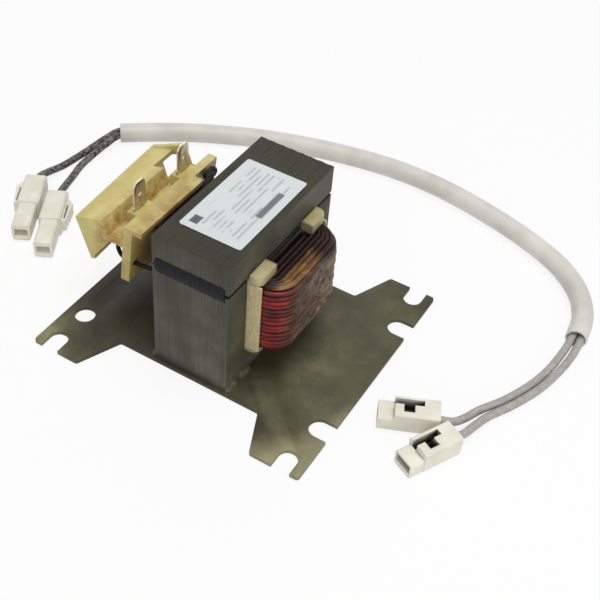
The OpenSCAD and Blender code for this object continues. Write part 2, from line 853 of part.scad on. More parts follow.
// Rolled push-on receptacle with its crimp barrel
module receptacle(w, axis_z, bore_l, length) {
    floor_z = axis_z - cavity_h / 2;
    roll_r = w * roll_part;
    roll_y = w / 2 - roll_r - slot_clear;
    color(tin) {
        along_x(bore_l + 3, bore_l + 3 + length)
            union() {
                translate([-roll_y, floor_z])
                    square([2 * roll_y, blade_stock]);
                for (y = [-1, 1])
                    translate([y * roll_y, floor_z + roll_r])
                        difference() {
                            circle(r = roll_r, $fn = small_fn);
                            circle(r = roll_r - blade_stock, $fn = small_fn);
                        }
            }
        translate([bore_l + 0.5, -1, floor_z])
            cube([3.5, 2, blade_stock]);
        translate([bore_l - 1, -0.9, axis_z - 1])
            cube([2.4, 1.8, 1]);
        translate([bore_l + 0.5, -0.9, floor_z])
            cube([0.9, 1.8, cavity_h / 2]);
        translate([0, 0, axis_z])
            rotate([0, 90, 0])
                cylinder(r = barrel_r, h = bore_l - 0.5, $fn = small_fn);
    }
}

module housing_left_a() {
    placed(left_a_at, left_heading)
        long_housing(180);
}

module housing_left_b() {
    placed(left_b_at, left_heading)
        long_housing(0);
}

module housing_right_a() {
    placed(right_a_at, right_a_heading)
        short_housing();
}

module housing_right_b() {
    placed(right_b_at, right_b_heading)
        short_housing();
}

module receptacle_left_a() {
    placed(left_a_at, left_heading)
        receptacle(long_cavity_w, long_axis_z, long_bore_l, 14);
}

module receptacle_left_b() {
    placed(left_b_at, left_heading)
        receptacle(long_cavity_w, long_axis_z, long_bore_l, 14);
}

module receptacle_right_a() {
    placed(right_a_at, right_a_heading)
        receptacle(short_cavity_w, short_axis_z, short_bore_l, 12);
}

module receptacle_right_b() {
    placed(right_b_at, right_b_heading)
        receptacle(short_cavity_w, short_axis_z, short_bore_l, 12);
}

base_plate();
plate_welds();
e_stack();
i_stack();
gap_spacer();
seam_weld_near();
seam_weld_far();
bobbin();
coil();
liner_near();
liner_far();
terminal_holder();
tab_near();
tab_far();
lead_near();
lead_far();
label();
sleeve();
wire_a();
wire_b();
housing_left_a();
housing_left_b();
housing_right_a();
housing_right_b();
receptacle_left_a();
receptacle_left_b();
receptacle_right_a();
receptacle_right_b();
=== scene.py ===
import json
import math

import bpy
from mathutils import Matrix, Vector
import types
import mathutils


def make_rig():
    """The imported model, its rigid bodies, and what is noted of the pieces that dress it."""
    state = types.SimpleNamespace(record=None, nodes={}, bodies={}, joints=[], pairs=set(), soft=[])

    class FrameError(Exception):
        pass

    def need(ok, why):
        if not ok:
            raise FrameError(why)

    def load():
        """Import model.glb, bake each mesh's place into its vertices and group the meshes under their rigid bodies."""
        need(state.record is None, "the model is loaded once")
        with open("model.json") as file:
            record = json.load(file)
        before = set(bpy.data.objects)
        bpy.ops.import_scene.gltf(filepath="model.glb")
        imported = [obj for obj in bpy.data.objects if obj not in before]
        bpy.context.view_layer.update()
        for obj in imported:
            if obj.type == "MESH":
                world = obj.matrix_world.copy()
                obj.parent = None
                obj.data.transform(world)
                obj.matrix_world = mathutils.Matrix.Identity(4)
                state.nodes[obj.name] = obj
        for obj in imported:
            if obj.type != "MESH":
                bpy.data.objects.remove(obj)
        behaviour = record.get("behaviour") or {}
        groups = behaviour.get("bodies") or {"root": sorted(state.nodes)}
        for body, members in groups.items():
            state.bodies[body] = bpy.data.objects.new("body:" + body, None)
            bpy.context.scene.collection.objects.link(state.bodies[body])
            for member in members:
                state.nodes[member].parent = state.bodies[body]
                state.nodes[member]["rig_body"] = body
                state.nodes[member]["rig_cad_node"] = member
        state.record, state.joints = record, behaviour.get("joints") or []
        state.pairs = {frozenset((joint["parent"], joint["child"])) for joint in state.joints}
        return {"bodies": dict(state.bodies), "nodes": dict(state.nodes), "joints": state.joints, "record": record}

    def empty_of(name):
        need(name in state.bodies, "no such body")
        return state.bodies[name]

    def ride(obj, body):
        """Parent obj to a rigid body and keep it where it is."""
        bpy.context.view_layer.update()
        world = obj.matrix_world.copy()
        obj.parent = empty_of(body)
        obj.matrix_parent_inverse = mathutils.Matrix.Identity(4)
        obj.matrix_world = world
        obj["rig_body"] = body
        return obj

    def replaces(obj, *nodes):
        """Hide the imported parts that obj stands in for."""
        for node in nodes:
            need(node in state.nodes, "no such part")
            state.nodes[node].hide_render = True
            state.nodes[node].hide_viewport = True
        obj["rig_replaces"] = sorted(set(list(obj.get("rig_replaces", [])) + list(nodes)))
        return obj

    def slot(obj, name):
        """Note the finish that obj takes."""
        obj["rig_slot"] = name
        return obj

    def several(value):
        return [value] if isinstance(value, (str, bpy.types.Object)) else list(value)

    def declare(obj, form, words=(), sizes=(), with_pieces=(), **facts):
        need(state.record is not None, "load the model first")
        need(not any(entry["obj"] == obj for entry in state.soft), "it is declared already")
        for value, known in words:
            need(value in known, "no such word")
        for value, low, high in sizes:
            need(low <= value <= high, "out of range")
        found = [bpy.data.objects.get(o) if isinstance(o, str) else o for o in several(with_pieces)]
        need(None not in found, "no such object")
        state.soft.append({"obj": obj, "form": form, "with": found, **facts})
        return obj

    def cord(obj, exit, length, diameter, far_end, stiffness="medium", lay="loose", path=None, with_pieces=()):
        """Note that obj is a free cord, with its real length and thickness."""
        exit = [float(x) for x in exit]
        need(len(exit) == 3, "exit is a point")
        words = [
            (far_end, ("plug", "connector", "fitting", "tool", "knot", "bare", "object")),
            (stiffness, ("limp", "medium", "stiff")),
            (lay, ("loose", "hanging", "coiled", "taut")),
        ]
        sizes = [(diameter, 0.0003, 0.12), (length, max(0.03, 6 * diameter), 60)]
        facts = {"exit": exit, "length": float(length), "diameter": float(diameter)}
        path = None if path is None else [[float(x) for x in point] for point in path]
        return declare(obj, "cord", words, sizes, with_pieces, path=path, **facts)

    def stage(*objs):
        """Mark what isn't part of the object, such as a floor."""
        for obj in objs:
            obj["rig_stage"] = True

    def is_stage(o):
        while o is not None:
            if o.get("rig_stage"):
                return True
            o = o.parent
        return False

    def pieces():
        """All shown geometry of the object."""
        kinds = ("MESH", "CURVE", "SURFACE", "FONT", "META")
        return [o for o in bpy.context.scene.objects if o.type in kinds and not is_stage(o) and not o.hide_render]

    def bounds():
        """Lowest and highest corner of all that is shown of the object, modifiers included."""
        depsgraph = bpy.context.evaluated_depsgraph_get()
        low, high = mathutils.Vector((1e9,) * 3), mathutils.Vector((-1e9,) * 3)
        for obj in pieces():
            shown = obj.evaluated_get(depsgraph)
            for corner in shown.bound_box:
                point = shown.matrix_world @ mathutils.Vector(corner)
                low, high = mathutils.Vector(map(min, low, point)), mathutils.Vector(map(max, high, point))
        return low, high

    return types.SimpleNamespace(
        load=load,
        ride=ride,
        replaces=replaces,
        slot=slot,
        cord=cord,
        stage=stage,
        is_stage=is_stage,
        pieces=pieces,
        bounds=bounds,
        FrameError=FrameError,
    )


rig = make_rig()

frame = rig.load()
cad_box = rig.bounds()
solids = frame["nodes"]
scene = bpy.context.scene
mm = 0.001


# Small tools of the bench

def pick(*pieces):
    """Selects these objects only, the first one active."""
    bpy.ops.object.select_all(action="DESELECT")
    for piece in pieces:
        piece.select_set(True)
    bpy.context.view_layer.objects.active = pieces[0]


def put(piece, node, finish, slot):
    """Sets a finished piece on the part in place of its CAD solid."""
    piece.name = node + "_look"
    piece.data.materials.clear()
    piece.data.materials.append(finish)
    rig.ride(piece, "root")
    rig.replaces(piece, node)
    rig.slot(piece, slot)
    return piece


def smooth(piece, degrees=35):
    """Shades a piece smoothly, apart from the edges that turn by more than these degrees."""
    pick(piece)
    bpy.ops.object.shade_smooth_by_angle(angle=math.radians(degrees))


def eased(node, radius, steps=2, least=0, merge=0.001):
    """A copy of a CAD solid with its sharp edges eased to a small radius, all in mm.

    Edges shorter than least stay sharp, and points closer than merge become one.
    """
    piece = bpy.data.objects.new(node + "_copy", solids[node].data.copy())
    scene.collection.objects.link(piece)
    pick(piece)
    bpy.ops.object.mode_set(mode="EDIT")
    bpy.ops.mesh.select_all(action="SELECT")
    bpy.ops.mesh.remove_doubles(threshold=merge * mm)
    bpy.ops.mesh.dissolve_limited(angle_limit=math.radians(0.4))
    bpy.ops.mesh.select_mode(type="EDGE")
    bpy.ops.mesh.select_all(action="DESELECT")
    bpy.ops.mesh.edges_select_sharp(sharpness=math.radians(40))
    bpy.ops.object.mode_set(mode="OBJECT")
    points = piece.data.vertices
    for edge in piece.data.edges:
        start, end = edge.vertices
        if (points[end].co - points[start].co).length < least * mm:
            edge.select = False
    bpy.ops.object.mode_set(mode="EDIT")
    bpy.ops.mesh.bevel(offset=radius * mm, segments=steps, affect="EDGES", clamp_overlap=True)
    bpy.ops.object.mode_set(mode="OBJECT")
    smooth(piece)
    return piece


def flowing(points, spacing=1.2):
    """A smooth line through route points in mm, with a point about every spacing mm."""
    pts = [Vector(p) for p in points]
    slopes = []
    for i in range(len(pts)):
        a, b = pts[max(i - 1, 0)], pts[min(i + 1, len(pts) - 1)]
        run = (pts[i] - a).length + (b - pts[i]).length
        slopes.append((b - a) / run)
    line = [pts[0]]
    for i in range(len(pts) - 1):
        p, q = pts[i], pts[i + 1]
        chord = (q - p).length
        count = max(2, round(chord / spacing))
        for k in range(1, count + 1):
            t = k / count
            line.append(
                p * (2 * t**3 - 3 * t**2 + 1)
                + slopes[i] * chord * (t**3 - 2 * t**2 + t)
                + q * (3 * t**2 - 2 * t**3)
                + slopes[i + 1] * chord * (t**3 - t**2)
            )
    return [v * mm for v in line]


def tube(name, line, diameter, closed_ends=True, sides=5):
    """A round tube in mm diameter along a line in metres, as a mesh."""
    curve = bpy.data.curves.new(name, "CURVE")
    curve.dimensions = "3D"
    curve.bevel_depth = diameter / 2 * mm
    curve.bevel_resolution = sides
    curve.use_fill_caps = closed_ends
    spline = curve.splines.new("POLY")
    spline.points.add(len(line) - 1)
    for point, at in zip(spline.points, line):
        point.co = (*at, 1)
    piece = bpy.data.objects.new(name, curve)
    scene.collection.objects.link(piece)
    pick(piece)
    bpy.ops.object.convert(target="MESH")
    piece = bpy.context.view_layer.objects.active
    smooth(piece, 60)
    return piece


def run_of(line):
    """The length of a line."""
    return sum((b - a).length for a, b in zip(line, line[1:]))


# Finishes

def colour(hex_code):
    """An sRGB hex value as linear RGBA."""
    parts = [int(hex_code[i:i + 2], 16) / 255 for i in (1, 3, 5)]
    return (*[c / 12.92 if c <= 0.04045 else ((c + 0.055) / 1.055) ** 2.4 for c in parts], 1)


def feed(tree, node, inputs):
    """Sets a node's sockets, or links other nodes' sockets to them."""
    for key, value in inputs.items():
        if isinstance(value, bpy.types.NodeSocket):
            tree.links.new(value, node.inputs[key])
        else:
            node.inputs[key].default_value = value


def add(tree, kind, inputs=None, stops=None, **settings):
    """Adds a shader node, such as a "Math" one, with its settings, links and any colour stops.

    A Mix node takes its share at 0 and its two colours at 6 and 7, and gives a colour at 2.
    """
    made = tree.nodes.new("ShaderNode" + kind)
    for key, value in settings.items():
        setattr(made, key, value)
    feed(tree, made, inputs or {})
    if stops:
        ramp = made.color_ramp.elements
        while len(ramp) < len(stops):
            ramp.new(0.5)
        for stop, (at, tone) in zip(ramp, stops):
            stop.position = at
            stop.color = colour(tone)
    return made


def material(name, ior=None):
    """A new material, its tree, its shader and its Object coordinates. A metal is given no IOR."""
    made = bpy.data.materials.new(name)
    made.use_nodes = True
    tree = made.node_tree
    shader = tree.nodes["Principled BSDF"]
    if ior:
        shader.inputs["IOR"].default_value = ior
    return made, tree, shader, add(tree, "TexCoord").outputs["Object"]


# Galvanised sheet dipped in varnish: olive-grey with a dull satin sheen, darker towards the terminals and
# the far corners as painted shade, paler at the near corners and towards the right as painted light, and
# cloudy, with the zinc's crystals faintly under it
def galvanised_sheet():
    made, tree, shader, place = material("galvanised_sheet")
    dip = add(tree, "TexNoise", {
        "Vector": place, "Scale": 1 / (24 * mm), "Detail": 4.0, "Roughness": 0.55,
    }).outputs["Fac"]
    cloud = add(tree, "MapRange", {"Value": dip, "To Min": 0.18, "To Max": 0.8}).outputs["Result"]
    crystal = add(tree, "TexVoronoi", {"Vector": place, "Scale": 1 / (3 * mm)}).outputs["Color"]
    spangle = add(tree, "RGBToBW", {"Color": crystal}).outputs["Val"]
    across = add(tree, "VectorMath", {
        0: place, 1: (0.98, 0.2, 0),
    }, operation="DOT_PRODUCT").outputs["Value"]
    # Painted shade towards the terminals on the left, under the holder, and painted light towards the right
    gradient = add(tree, "MapRange", {
        "Value": across, "From Min": -55 * mm, "From Max": 54 * mm, "To Min": -0.18, "To Max": 0.12,
    }).outputs["Result"]
    # Painted light at the near corners, away from the parts that shade the plate, and painted shade at the far corners
    away = add(tree, "VectorMath", {0: place}, operation="LENGTH").outputs["Value"]
    corner = add(tree, "MapRange", {
        "Value": away, "From Min": 54 * mm, "From Max": 70 * mm, "To Max": 0.52,
    }).outputs["Result"]
    depth = add(tree, "SeparateXYZ", {"Vector": place}).outputs["Y"]
    near = add(tree, "MapRange", {
        "Value": depth, "From Min": 20 * mm, "From Max": -20 * mm, "To Min": -0.35,
    }).outputs["Result"]
    bare = add(tree, "Math", {0: corner, 1: near}, operation="MULTIPLY").outputs[0]
    painted_light_and_shade = add(tree, "Math", {0: gradient, 1: bare}, operation="ADD").outputs[0]
    base = add(tree, "Math", {0: cloud, 1: painted_light_and_shade}, operation="ADD").outputs[0]
    mixed = add(tree, "Math", {0: spangle, 1: 0.06, 2: base}, operation="MULTIPLY_ADD").outputs[0]
    tone = add(tree, "ValToRGB", {"Fac": mixed}, stops=[
        (0.3, "#2b2719"), (0.5, "#3f3b28"), (0.66, "#545139"), (0.9, "#888263"),
    ]).outputs["Color"]
    gloss = add(tree, "MapRange", {"Value": cloud, "To Min": 0.38, "To Max": 0.58}).outputs["Result"]
    grit = add(tree, "TexNoise", {"Vector": place, "Scale": 1 / (0.8 * mm), "Detail": 2.0}).outputs["Fac"]
    relief = add(tree, "Bump", {"Height": grit, "Strength": 0.2, "Distance": 0.02 * mm}).outputs["Normal"]
    feed(tree, shader, {
        "Base Color": tone, "Roughness": gloss, "Normal": relief,
        "Metallic": 0.1, "Specular IOR Level": 0.3,
    })
    return made


# Silicon steel sheets punched, stacked and varnished: fine lines where the edges of the sheets show,
# streaks along them, a plainer flat sheet on the two sides, and painted light and shade by the way each face turns
def lamination_steel():
    made, tree, shader, place = material("varnished_silicon_steel")
    at = add(tree, "SeparateXYZ", {"Vector": place})
    # The sheets are 0.5 mm thick, drawn 1 mm thick so that they show in the render
    pitch = add(tree, "Math", {0: at.outputs["X"], 1: 1 / (0.5 * mm)}, operation="MULTIPLY").outputs[0]
    wave = add(tree, "Math", {0: pitch, 1: 1.0}, operation="PINGPONG").outputs[0]
    sheet = add(tree, "MapRange", {"Value": wave, "From Max": 0.5}).outputs["Result"]
    facing = add(tree, "TexCoord").outputs["Normal"]
    turned = add(tree, "SeparateXYZ", {"Vector": facing})
    side = add(tree, "Math", {0: turned.outputs["X"]}, operation="ABSOLUTE").outputs[0]
    flat = add(tree, "Math", {0: side, 1: 0.6}, operation="GREATER_THAN").outputs[0]
    edges = add(tree, "Math", {0: sheet, 1: flat}, operation="MAXIMUM").outputs[0]
    long = add(tree, "Mapping", {"Vector": place, "Scale": (1, 0.05, 0.05)}).outputs["Vector"]
    streak = add(tree, "TexNoise", {
        "Vector": long, "Scale": 1 / (1.7 * mm), "Detail": 3.0, "Roughness": 0.6,
    }).outputs["Fac"]
    cloud = add(tree, "TexNoise", {
        "Vector": place, "Scale": 1 / (12 * mm), "Detail": 4.0, "Roughness": 0.55,
    }).outputs["Fac"]
    shown = add(tree, "MapRange", {
        "Value": turned.outputs["Z"], "From Max": 0.8, "To Min": 0.5, "To Max": 0.25,
    }).outputs["Result"]
    both = add(tree, "Math", {0: streak, 1: shown, 2: cloud}, operation="MULTIPLY_ADD").outputs[0]
    varnish = add(tree, "ValToRGB", {"Fac": both}, stops=[
        (0.5, "#313127"), (0.75, "#3f3e31"), (0.98, "#504e3f"),
    ]).outputs["Color"]
    # Painted light and shade: the top is drawn darker and the upright faces lighter, and all is a little darker above
    # 46 mm
    facing_light = add(tree, "MapRange", {
        "Value": turned.outputs["Z"], "From Max": 0.8, "To Min": 1.5, "To Max": 0.72,
    }).outputs["Result"]
    gradient = add(tree, "MapRange", {
        "Value": at.outputs["Z"], "From Min": 38 * mm, "From Max": 46 * mm, "To Min": 1.0, "To Max": 0.84,
    }).outputs["Result"]
    left = add(tree, "Math", {0: facing_light, 1: gradient}, operation="MULTIPLY").outputs[0]
    lines = add(tree, "MapRange", {"Value": edges, "To Min": 0.88, "To Max": 1.0}).outputs["Result"]
    # The flat sheet on the two sides is drawn lighter still, as painted light
    plain = add(tree, "Math", {0: flat, 1: 0.15, 2: lines}, operation="MULTIPLY_ADD").outputs[0]
    lines_and_painted_light = add(tree, "Math", {0: left, 1: plain}, operation="MULTIPLY").outputs[0]
    olive = add(tree, "MapRange", {
        "Value": turned.outputs["Z"], "From Max": 0.8, "To Min": 1.15, "To Max": 0.7,
    }).outputs["Result"]
    blue = add(tree, "Math", {0: lines_and_painted_light, 1: olive}, operation="MULTIPLY").outputs[0]
    shade = add(tree, "CombineColor", {"Red": lines_and_painted_light, "Green": lines_and_painted_light, "Blue": blue}).outputs["Color"]
    tone = add(tree, "Mix", {
        0: 1.0, 6: varnish, 7: shade,
    }, data_type="RGBA", blend_type="MULTIPLY").outputs[2]
    gloss = add(tree, "MapRange", {"Value": cloud, "To Min": 0.42, "To Max": 0.6}).outputs["Result"]
    relief = add(tree, "Bump", {"Height": edges, "Strength": 0.25, "Distance": 0.03 * mm}).outputs["Normal"]
    feed(tree, shader, {
        "Base Color": tone, "Roughness": gloss, "Normal": relief, "Specular IOR Level": 0.22,
    })
    return made


# Weld metal under varnish: softly scaly and dull, nearly black on the seams and olive-grey on the plate's welds
def weld_metal(name, low, high):
    made, tree, shader, place = material(name)
    scale = add(tree, "TexNoise", {
        "Vector": place, "Scale": 1 / (2 * mm), "Detail": 4.0, "Roughness": 0.6,
    }).outputs["Fac"]
    tone = add(tree, "ValToRGB", {"Fac": scale}, stops=[(0.3, low), (0.7, high)]).outputs["Color"]
    relief = add(tree, "Bump", {"Height": scale, "Strength": 0.3, "Distance": 0.05 * mm}).outputs["Normal"]
    feed(tree, shader, {
        "Base Color": tone, "Roughness": 0.55, "Normal": relief, "Specular IOR Level": 0.16,
    })
    return made


# Copper wire, enamelled and soaked in varnish: deep red, grey-brown on the flat sides, partly as painted sheen,
# with blotches of pale painted sheen there, tan on the top as painted light, and nearly black as painted shade
# against the core, over the far half of the top, high on the sides of the far half and all over the far end
def enamelled_wire():
    made, tree, shader, place = material("enamelled_copper_wire", 1.55)
    along = add(tree, "Mapping", {"Vector": place, "Scale": (1, 1, 3)}).outputs["Vector"]
    soak = add(tree, "TexNoise", {
        "Vector": along, "Scale": 1 / (7 * mm), "Detail": 5.0, "Roughness": 0.6,
    }).outputs["Fac"]
    at = add(tree, "SeparateXYZ", {"Vector": place})
    out = add(tree, "Math", {0: at.outputs["X"]}, operation="ABSOLUTE").outputs[0]
    red = add(tree, "ValToRGB", {"Fac": soak}, stops=[
        (0.32, "#2a0706"), (0.48, "#6a100e"), (0.62, "#8a1b16"), (0.78, "#9a3f2b"),
    ]).outputs["Color"]
    brown = add(tree, "ValToRGB", {"Fac": soak}, stops=[
        (0.34, "#1e100a"), (0.5, "#3d291b"), (0.66, "#664f38"),
    ]).outputs["Color"]
    tan = add(tree, "ValToRGB", {"Fac": soak}, stops=[
        (0.34, "#43230f"), (0.5, "#74502f"), (0.66, "#9c7b4e"),
    ]).outputs["Color"]
    flat = add(tree, "MapRange", {
        "Value": out, "From Min": 25.5 * mm, "From Max": 28.6 * mm, "To Max": 0.9,
    }).outputs["Result"]
    # Painted light: the top is drawn tan
    top = add(tree, "MapRange", {
        "Value": at.outputs["Z"], "From Min": 41.6 * mm, "From Max": 43.2 * mm,
    }).outputs["Result"]
    # Painted shade on the top: next to the core, under the yoke, and over the far half
    core_shade = add(tree, "MapRange", {
        "Value": at.outputs["X"], "From Min": 24.5 * mm, "From Max": 22 * mm,
    }).outputs["Result"]
    back = add(tree, "MapRange", {
        "Value": at.outputs["Y"], "From Min": -2 * mm, "From Max": 7 * mm, "To Max": 0.96,
    }).outputs["Result"]
    dark = add(tree, "Math", {0: core_shade, 1: back}, operation="MAXIMUM").outputs[0]
    top_shade = add(tree, "Math", {0: dark, 1: top}, operation="MULTIPLY").outputs[0]
    # Painted shade high on the sides of the far half, and all over the far end
    upper = add(tree, "MapRange", {
        "Value": at.outputs["Z"], "From Min": 36.5 * mm, "From Max": 41.5 * mm,
    }).outputs["Result"]
    far_side_shade = add(tree, "Math", {0: back, 1: upper}, operation="MULTIPLY").outputs[0]
    end = add(tree, "MapRange", {
        "Value": at.outputs["Y"], "From Min": 14 * mm, "From Max": 19 * mm, "To Max": 0.75,
    }).outputs["Result"]
    gradient = add(tree, "Math", {0: far_side_shade, 1: end}, operation="MAXIMUM").outputs[0]
    painted_shade = add(tree, "Math", {0: top_shade, 1: gradient}, operation="MAXIMUM").outputs[0]
    # Grey-brown on the flat sides, partly as painted sheen
    sides = add(tree, "Mix", {0: flat, 6: red, 7: brown}, data_type="RGBA").outputs[2]
    # Painted pale sheen, in blotches on the flat sides, stronger towards the far end
    patch = add(tree, "TexNoise", {
        "Vector": place, "Scale": 1 / (4.5 * mm), "Detail": 4.0, "Roughness": 0.65,
    }).outputs["Fac"]
    blotch = add(tree, "MapRange", {"Value": patch, "From Min": 0.38, "From Max": 0.62}).outputs["Result"]
    far = add(tree, "MapRange", {
        "Value": at.outputs["Y"], "From Min": -14 * mm, "From Max": 6 * mm, "To Max": 0.72,
    }).outputs["Result"]
    dull = add(tree, "Math", {0: blotch, 1: far}, operation="MULTIPLY").outputs[0]
    painted_sheen = add(tree, "Math", {0: dull, 1: flat}, operation="MULTIPLY").outputs[0]
    with_painted_sheen = add(tree, "Mix", {0: painted_sheen, 6: sides, 7: colour("#a3957f")}, data_type="RGBA").outputs[2]
    painted_light_on_top = add(tree, "Mix", {0: top, 6: with_painted_sheen, 7: tan}, data_type="RGBA").outputs[2]
    # Nearly black where shade is painted, with less coat there
    tone = add(tree, "Mix", {0: painted_shade, 6: painted_light_on_top, 7: colour("#1c0807")}, data_type="RGBA").outputs[2]
    lumps = add(tree, "TexNoise", {"Vector": place, "Scale": 1 / (0.9 * mm), "Detail": 3.0}).outputs["Fac"]
    relief = add(tree, "Bump", {"Height": lumps, "Strength": 0.35, "Distance": 0.04 * mm}).outputs["Normal"]
    coat = add(tree, "MapRange", {"Value": painted_shade, "To Min": 0.22, "To Max": 0.03}).outputs["Result"]
    feed(tree, shader, {
        "Base Color": tone, "Roughness": 0.42, "Normal": relief, "Specular IOR Level": 0.16,
        "Coat Weight": coat, "Coat Roughness": 0.16,
    })
    return made


# Nylon moulding: even colour with a slow drift and the fine satin of an etched mould, under painted shade of
# its own where it has one
def moulded_nylon(name, low, high, roughness, shade_painter=None):
    made, tree, shader, place = material(name, 1.53)
    cloud = add(tree, "TexNoise", {"Vector": place, "Scale": 1 / (9 * mm), "Detail": 3.0}).outputs["Fac"]
    tone = add(tree, "ValToRGB", {"Fac": cloud}, stops=[(0.35, low), (0.68, high)]).outputs["Color"]
    if shade_painter:
        tone = shade_painter(tree, place, tone)
    satin = add(tree, "TexNoise", {"Vector": place, "Scale": 1 / (0.5 * mm), "Detail": 2.0}).outputs["Fac"]
    relief = add(tree, "Bump", {"Height": satin, "Strength": 0.35, "Distance": 0.02 * mm}).outputs["Normal"]
    wear = add(tree, "TexNoise", {"Vector": place, "Scale": 1 / (3 * mm), "Detail": 2.0}).outputs["Fac"]
    gloss = add(tree, "MapRange", {
        "Value": wear, "To Min": roughness - 0.07, "To Max": roughness + 0.09,
    }).outputs["Result"]
    feed(tree, shader, {
        "Base Color": tone, "Roughness": gloss, "Normal": relief, "Specular IOR Level": 0.4,
    })
    return made


# Painted shade on the bobbin, nearly black: between its ears, along the core, and on its side at the terminals
def painted_shade_on_bobbin(tree, place, tone):
    at = add(tree, "SeparateXYZ", {"Vector": place})
    along = add(tree, "Math", {0: at.outputs["Y"]}, operation="ABSOLUTE").outputs[0]
    between = add(tree, "MapRange", {
        "Value": along, "From Min": 12.6 * mm, "From Max": 10.6 * mm,
    }).outputs["Result"]
    left = add(tree, "MapRange", {
        "Value": at.outputs["X"], "From Min": -10 * mm, "From Max": -14 * mm,
    }).outputs["Result"]
    painted_shade = add(tree, "Math", {0: between, 1: left}, operation="MAXIMUM").outputs[0]
    return add(tree, "Mix", {0: painted_shade, 6: tone, 7: colour("#15100c")}, data_type="RGBA").outputs[2]


# Painted shade in brown on the holder: on its ledge towards the core and low in its trough
def painted_shade_on_holder(tree, place, tone):
    at = add(tree, "SeparateXYZ", {"Vector": place})
    ledge = add(tree, "MapRange", {
        "Value": at.outputs["X"], "From Min": -37 * mm, "From Max": -27 * mm, "To Max": 0.75,
    }).outputs["Result"]
    trough = add(tree, "MapRange", {
        "Value": at.outputs["X"], "From Min": -48 * mm, "From Max": -43 * mm, "To Max": 0.9,
    }).outputs["Result"]
    inside = add(tree, "MapRange", {
        "Value": at.outputs["X"], "From Min": -33 * mm, "From Max": -36 * mm,
    }).outputs["Result"]
    low = add(tree, "MapRange", {
        "Value": at.outputs["Z"], "From Min": 47 * mm, "From Max": 41 * mm,
    }).outputs["Result"]
    held = add(tree, "Math", {0: trough, 1: inside}, operation="MULTIPLY").outputs[0]
    trough_shade = add(tree, "Math", {0: held, 1: low}, operation="MULTIPLY").outputs[0]
    inner = add(tree, "Math", {0: ledge, 1: trough_shade}, operation="MAXIMUM").outputs[0]
    patch = add(tree, "TexNoise", {
        "Vector": place, "Scale": 1 / (6 * mm), "Detail": 4.0, "Roughness": 0.6,
    }).outputs["Fac"]
    edge = add(tree, "MapRange", {"Value": patch, "From Min": 0.35, "From Max": 0.6}).outputs["Result"]
    share = add(tree, "Math", {0: inner, 1: edge}, operation="MULTIPLY").outputs[0]
    return add(tree, "Mix", {0: share, 6: tone, 7: colour("#9c7238")}, data_type="RGBA").outputs[2]


# Painted shade, nearly black, deep in the short housings' windows, which open upwards; lower down, at their
# mouths, it is weaker
def painted_window_shade(tree, place, tone):
    sky = add(tree, "AmbientOcclusion", {
        "Distance": 7 * mm,
    }, samples=8, only_local=True).outputs["AO"]
    deep = add(tree, "MapRange", {"Value": sky, "From Min": 0.68, "From Max": 0.42}).outputs["Result"]
    height = add(tree, "SeparateXYZ", {"Vector": place}).outputs["Z"]
    high = add(tree, "MapRange", {
        "Value": height, "From Min": 2.4 * mm, "From Max": 3.4 * mm, "To Min": 0.25,
    }).outputs["Result"]
    window_shade = add(tree, "Math", {0: deep, 1: high}, operation="MULTIPLY").outputs[0]
    return add(tree, "Mix", {0: window_shade, 6: tone, 7: colour("#17120d")}, data_type="RGBA").outputs[2]


# Pressboard: pressed fibre sheet, warm cream, quite matt, with short upright fibres
def pressboard():
    made, tree, shader, place = material("pressboard", 1.5)
    upright = add(tree, "Mapping", {"Vector": place, "Scale": (1, 1, 0.25)}).outputs["Vector"]
    fibre = add(tree, "TexNoise", {
        "Vector": upright, "Scale": 1 / (0.7 * mm), "Detail": 4.0, "Roughness": 0.6,
    }).outputs["Fac"]
    tone = add(tree, "ValToRGB", {"Fac": fibre}, stops=[
        (0.3, "#bfae82"), (0.7, "#dccfa6"),
    ]).outputs["Color"]
    relief = add(tree, "Bump", {"Height": fibre, "Strength": 0.4, "Distance": 0.03 * mm}).outputs["Normal"]
    feed(tree, shader, {"Base Color": tone, "Roughness": 0.75, "Normal": relief})
    return made


# Brass strip, rolled and tinned: soft grey metal with fine upright rolling lines
def tinned_brass():
    made, tree, shader, place = material("tinned_brass")
    rolled = add(tree, "Mapping", {"Vector": place, "Scale": (1, 1, 0.12)}).outputs["Vector"]
    lines = add(tree, "TexNoise", {"Vector": rolled, "Scale": 1 / (0.5 * mm), "Detail": 3.0}).outputs["Fac"]
    tone = add(tree, "ValToRGB", {"Fac": lines}, stops=[
        (0.3, "#b5ac90"), (0.7, "#d9d2b8"),
    ]).outputs["Color"]
    gloss = add(tree, "MapRange", {"Value": lines, "To Min": 0.28, "To Max": 0.46}).outputs["Result"]
    feed(tree, shader, {"Base Color": tone, "Roughness": gloss, "Metallic": 0.9})
    return made


# Brass strip of the receptacles: dull, and dark as painted shade in the housings' windows
def brass_in_painted_shade():
    made, tree, shader, place = material("brass_in_painted_shade")
    spots = add(tree, "TexNoise", {"Vector": place, "Scale": 1 / (1.2 * mm), "Detail": 3.0}).outputs["Fac"]
    tone = add(tree, "ValToRGB", {"Fac": spots}, stops=[
        (0.3, "#16110c"), (0.7, "#32291d"),
    ]).outputs["Color"]
    gloss = add(tree, "MapRange", {"Value": spots, "To Min": 0.4, "To Max": 0.6}).outputs["Result"]
    feed(tree, shader, {"Base Color": tone, "Roughness": gloss, "Metallic": 0.9})
    return made


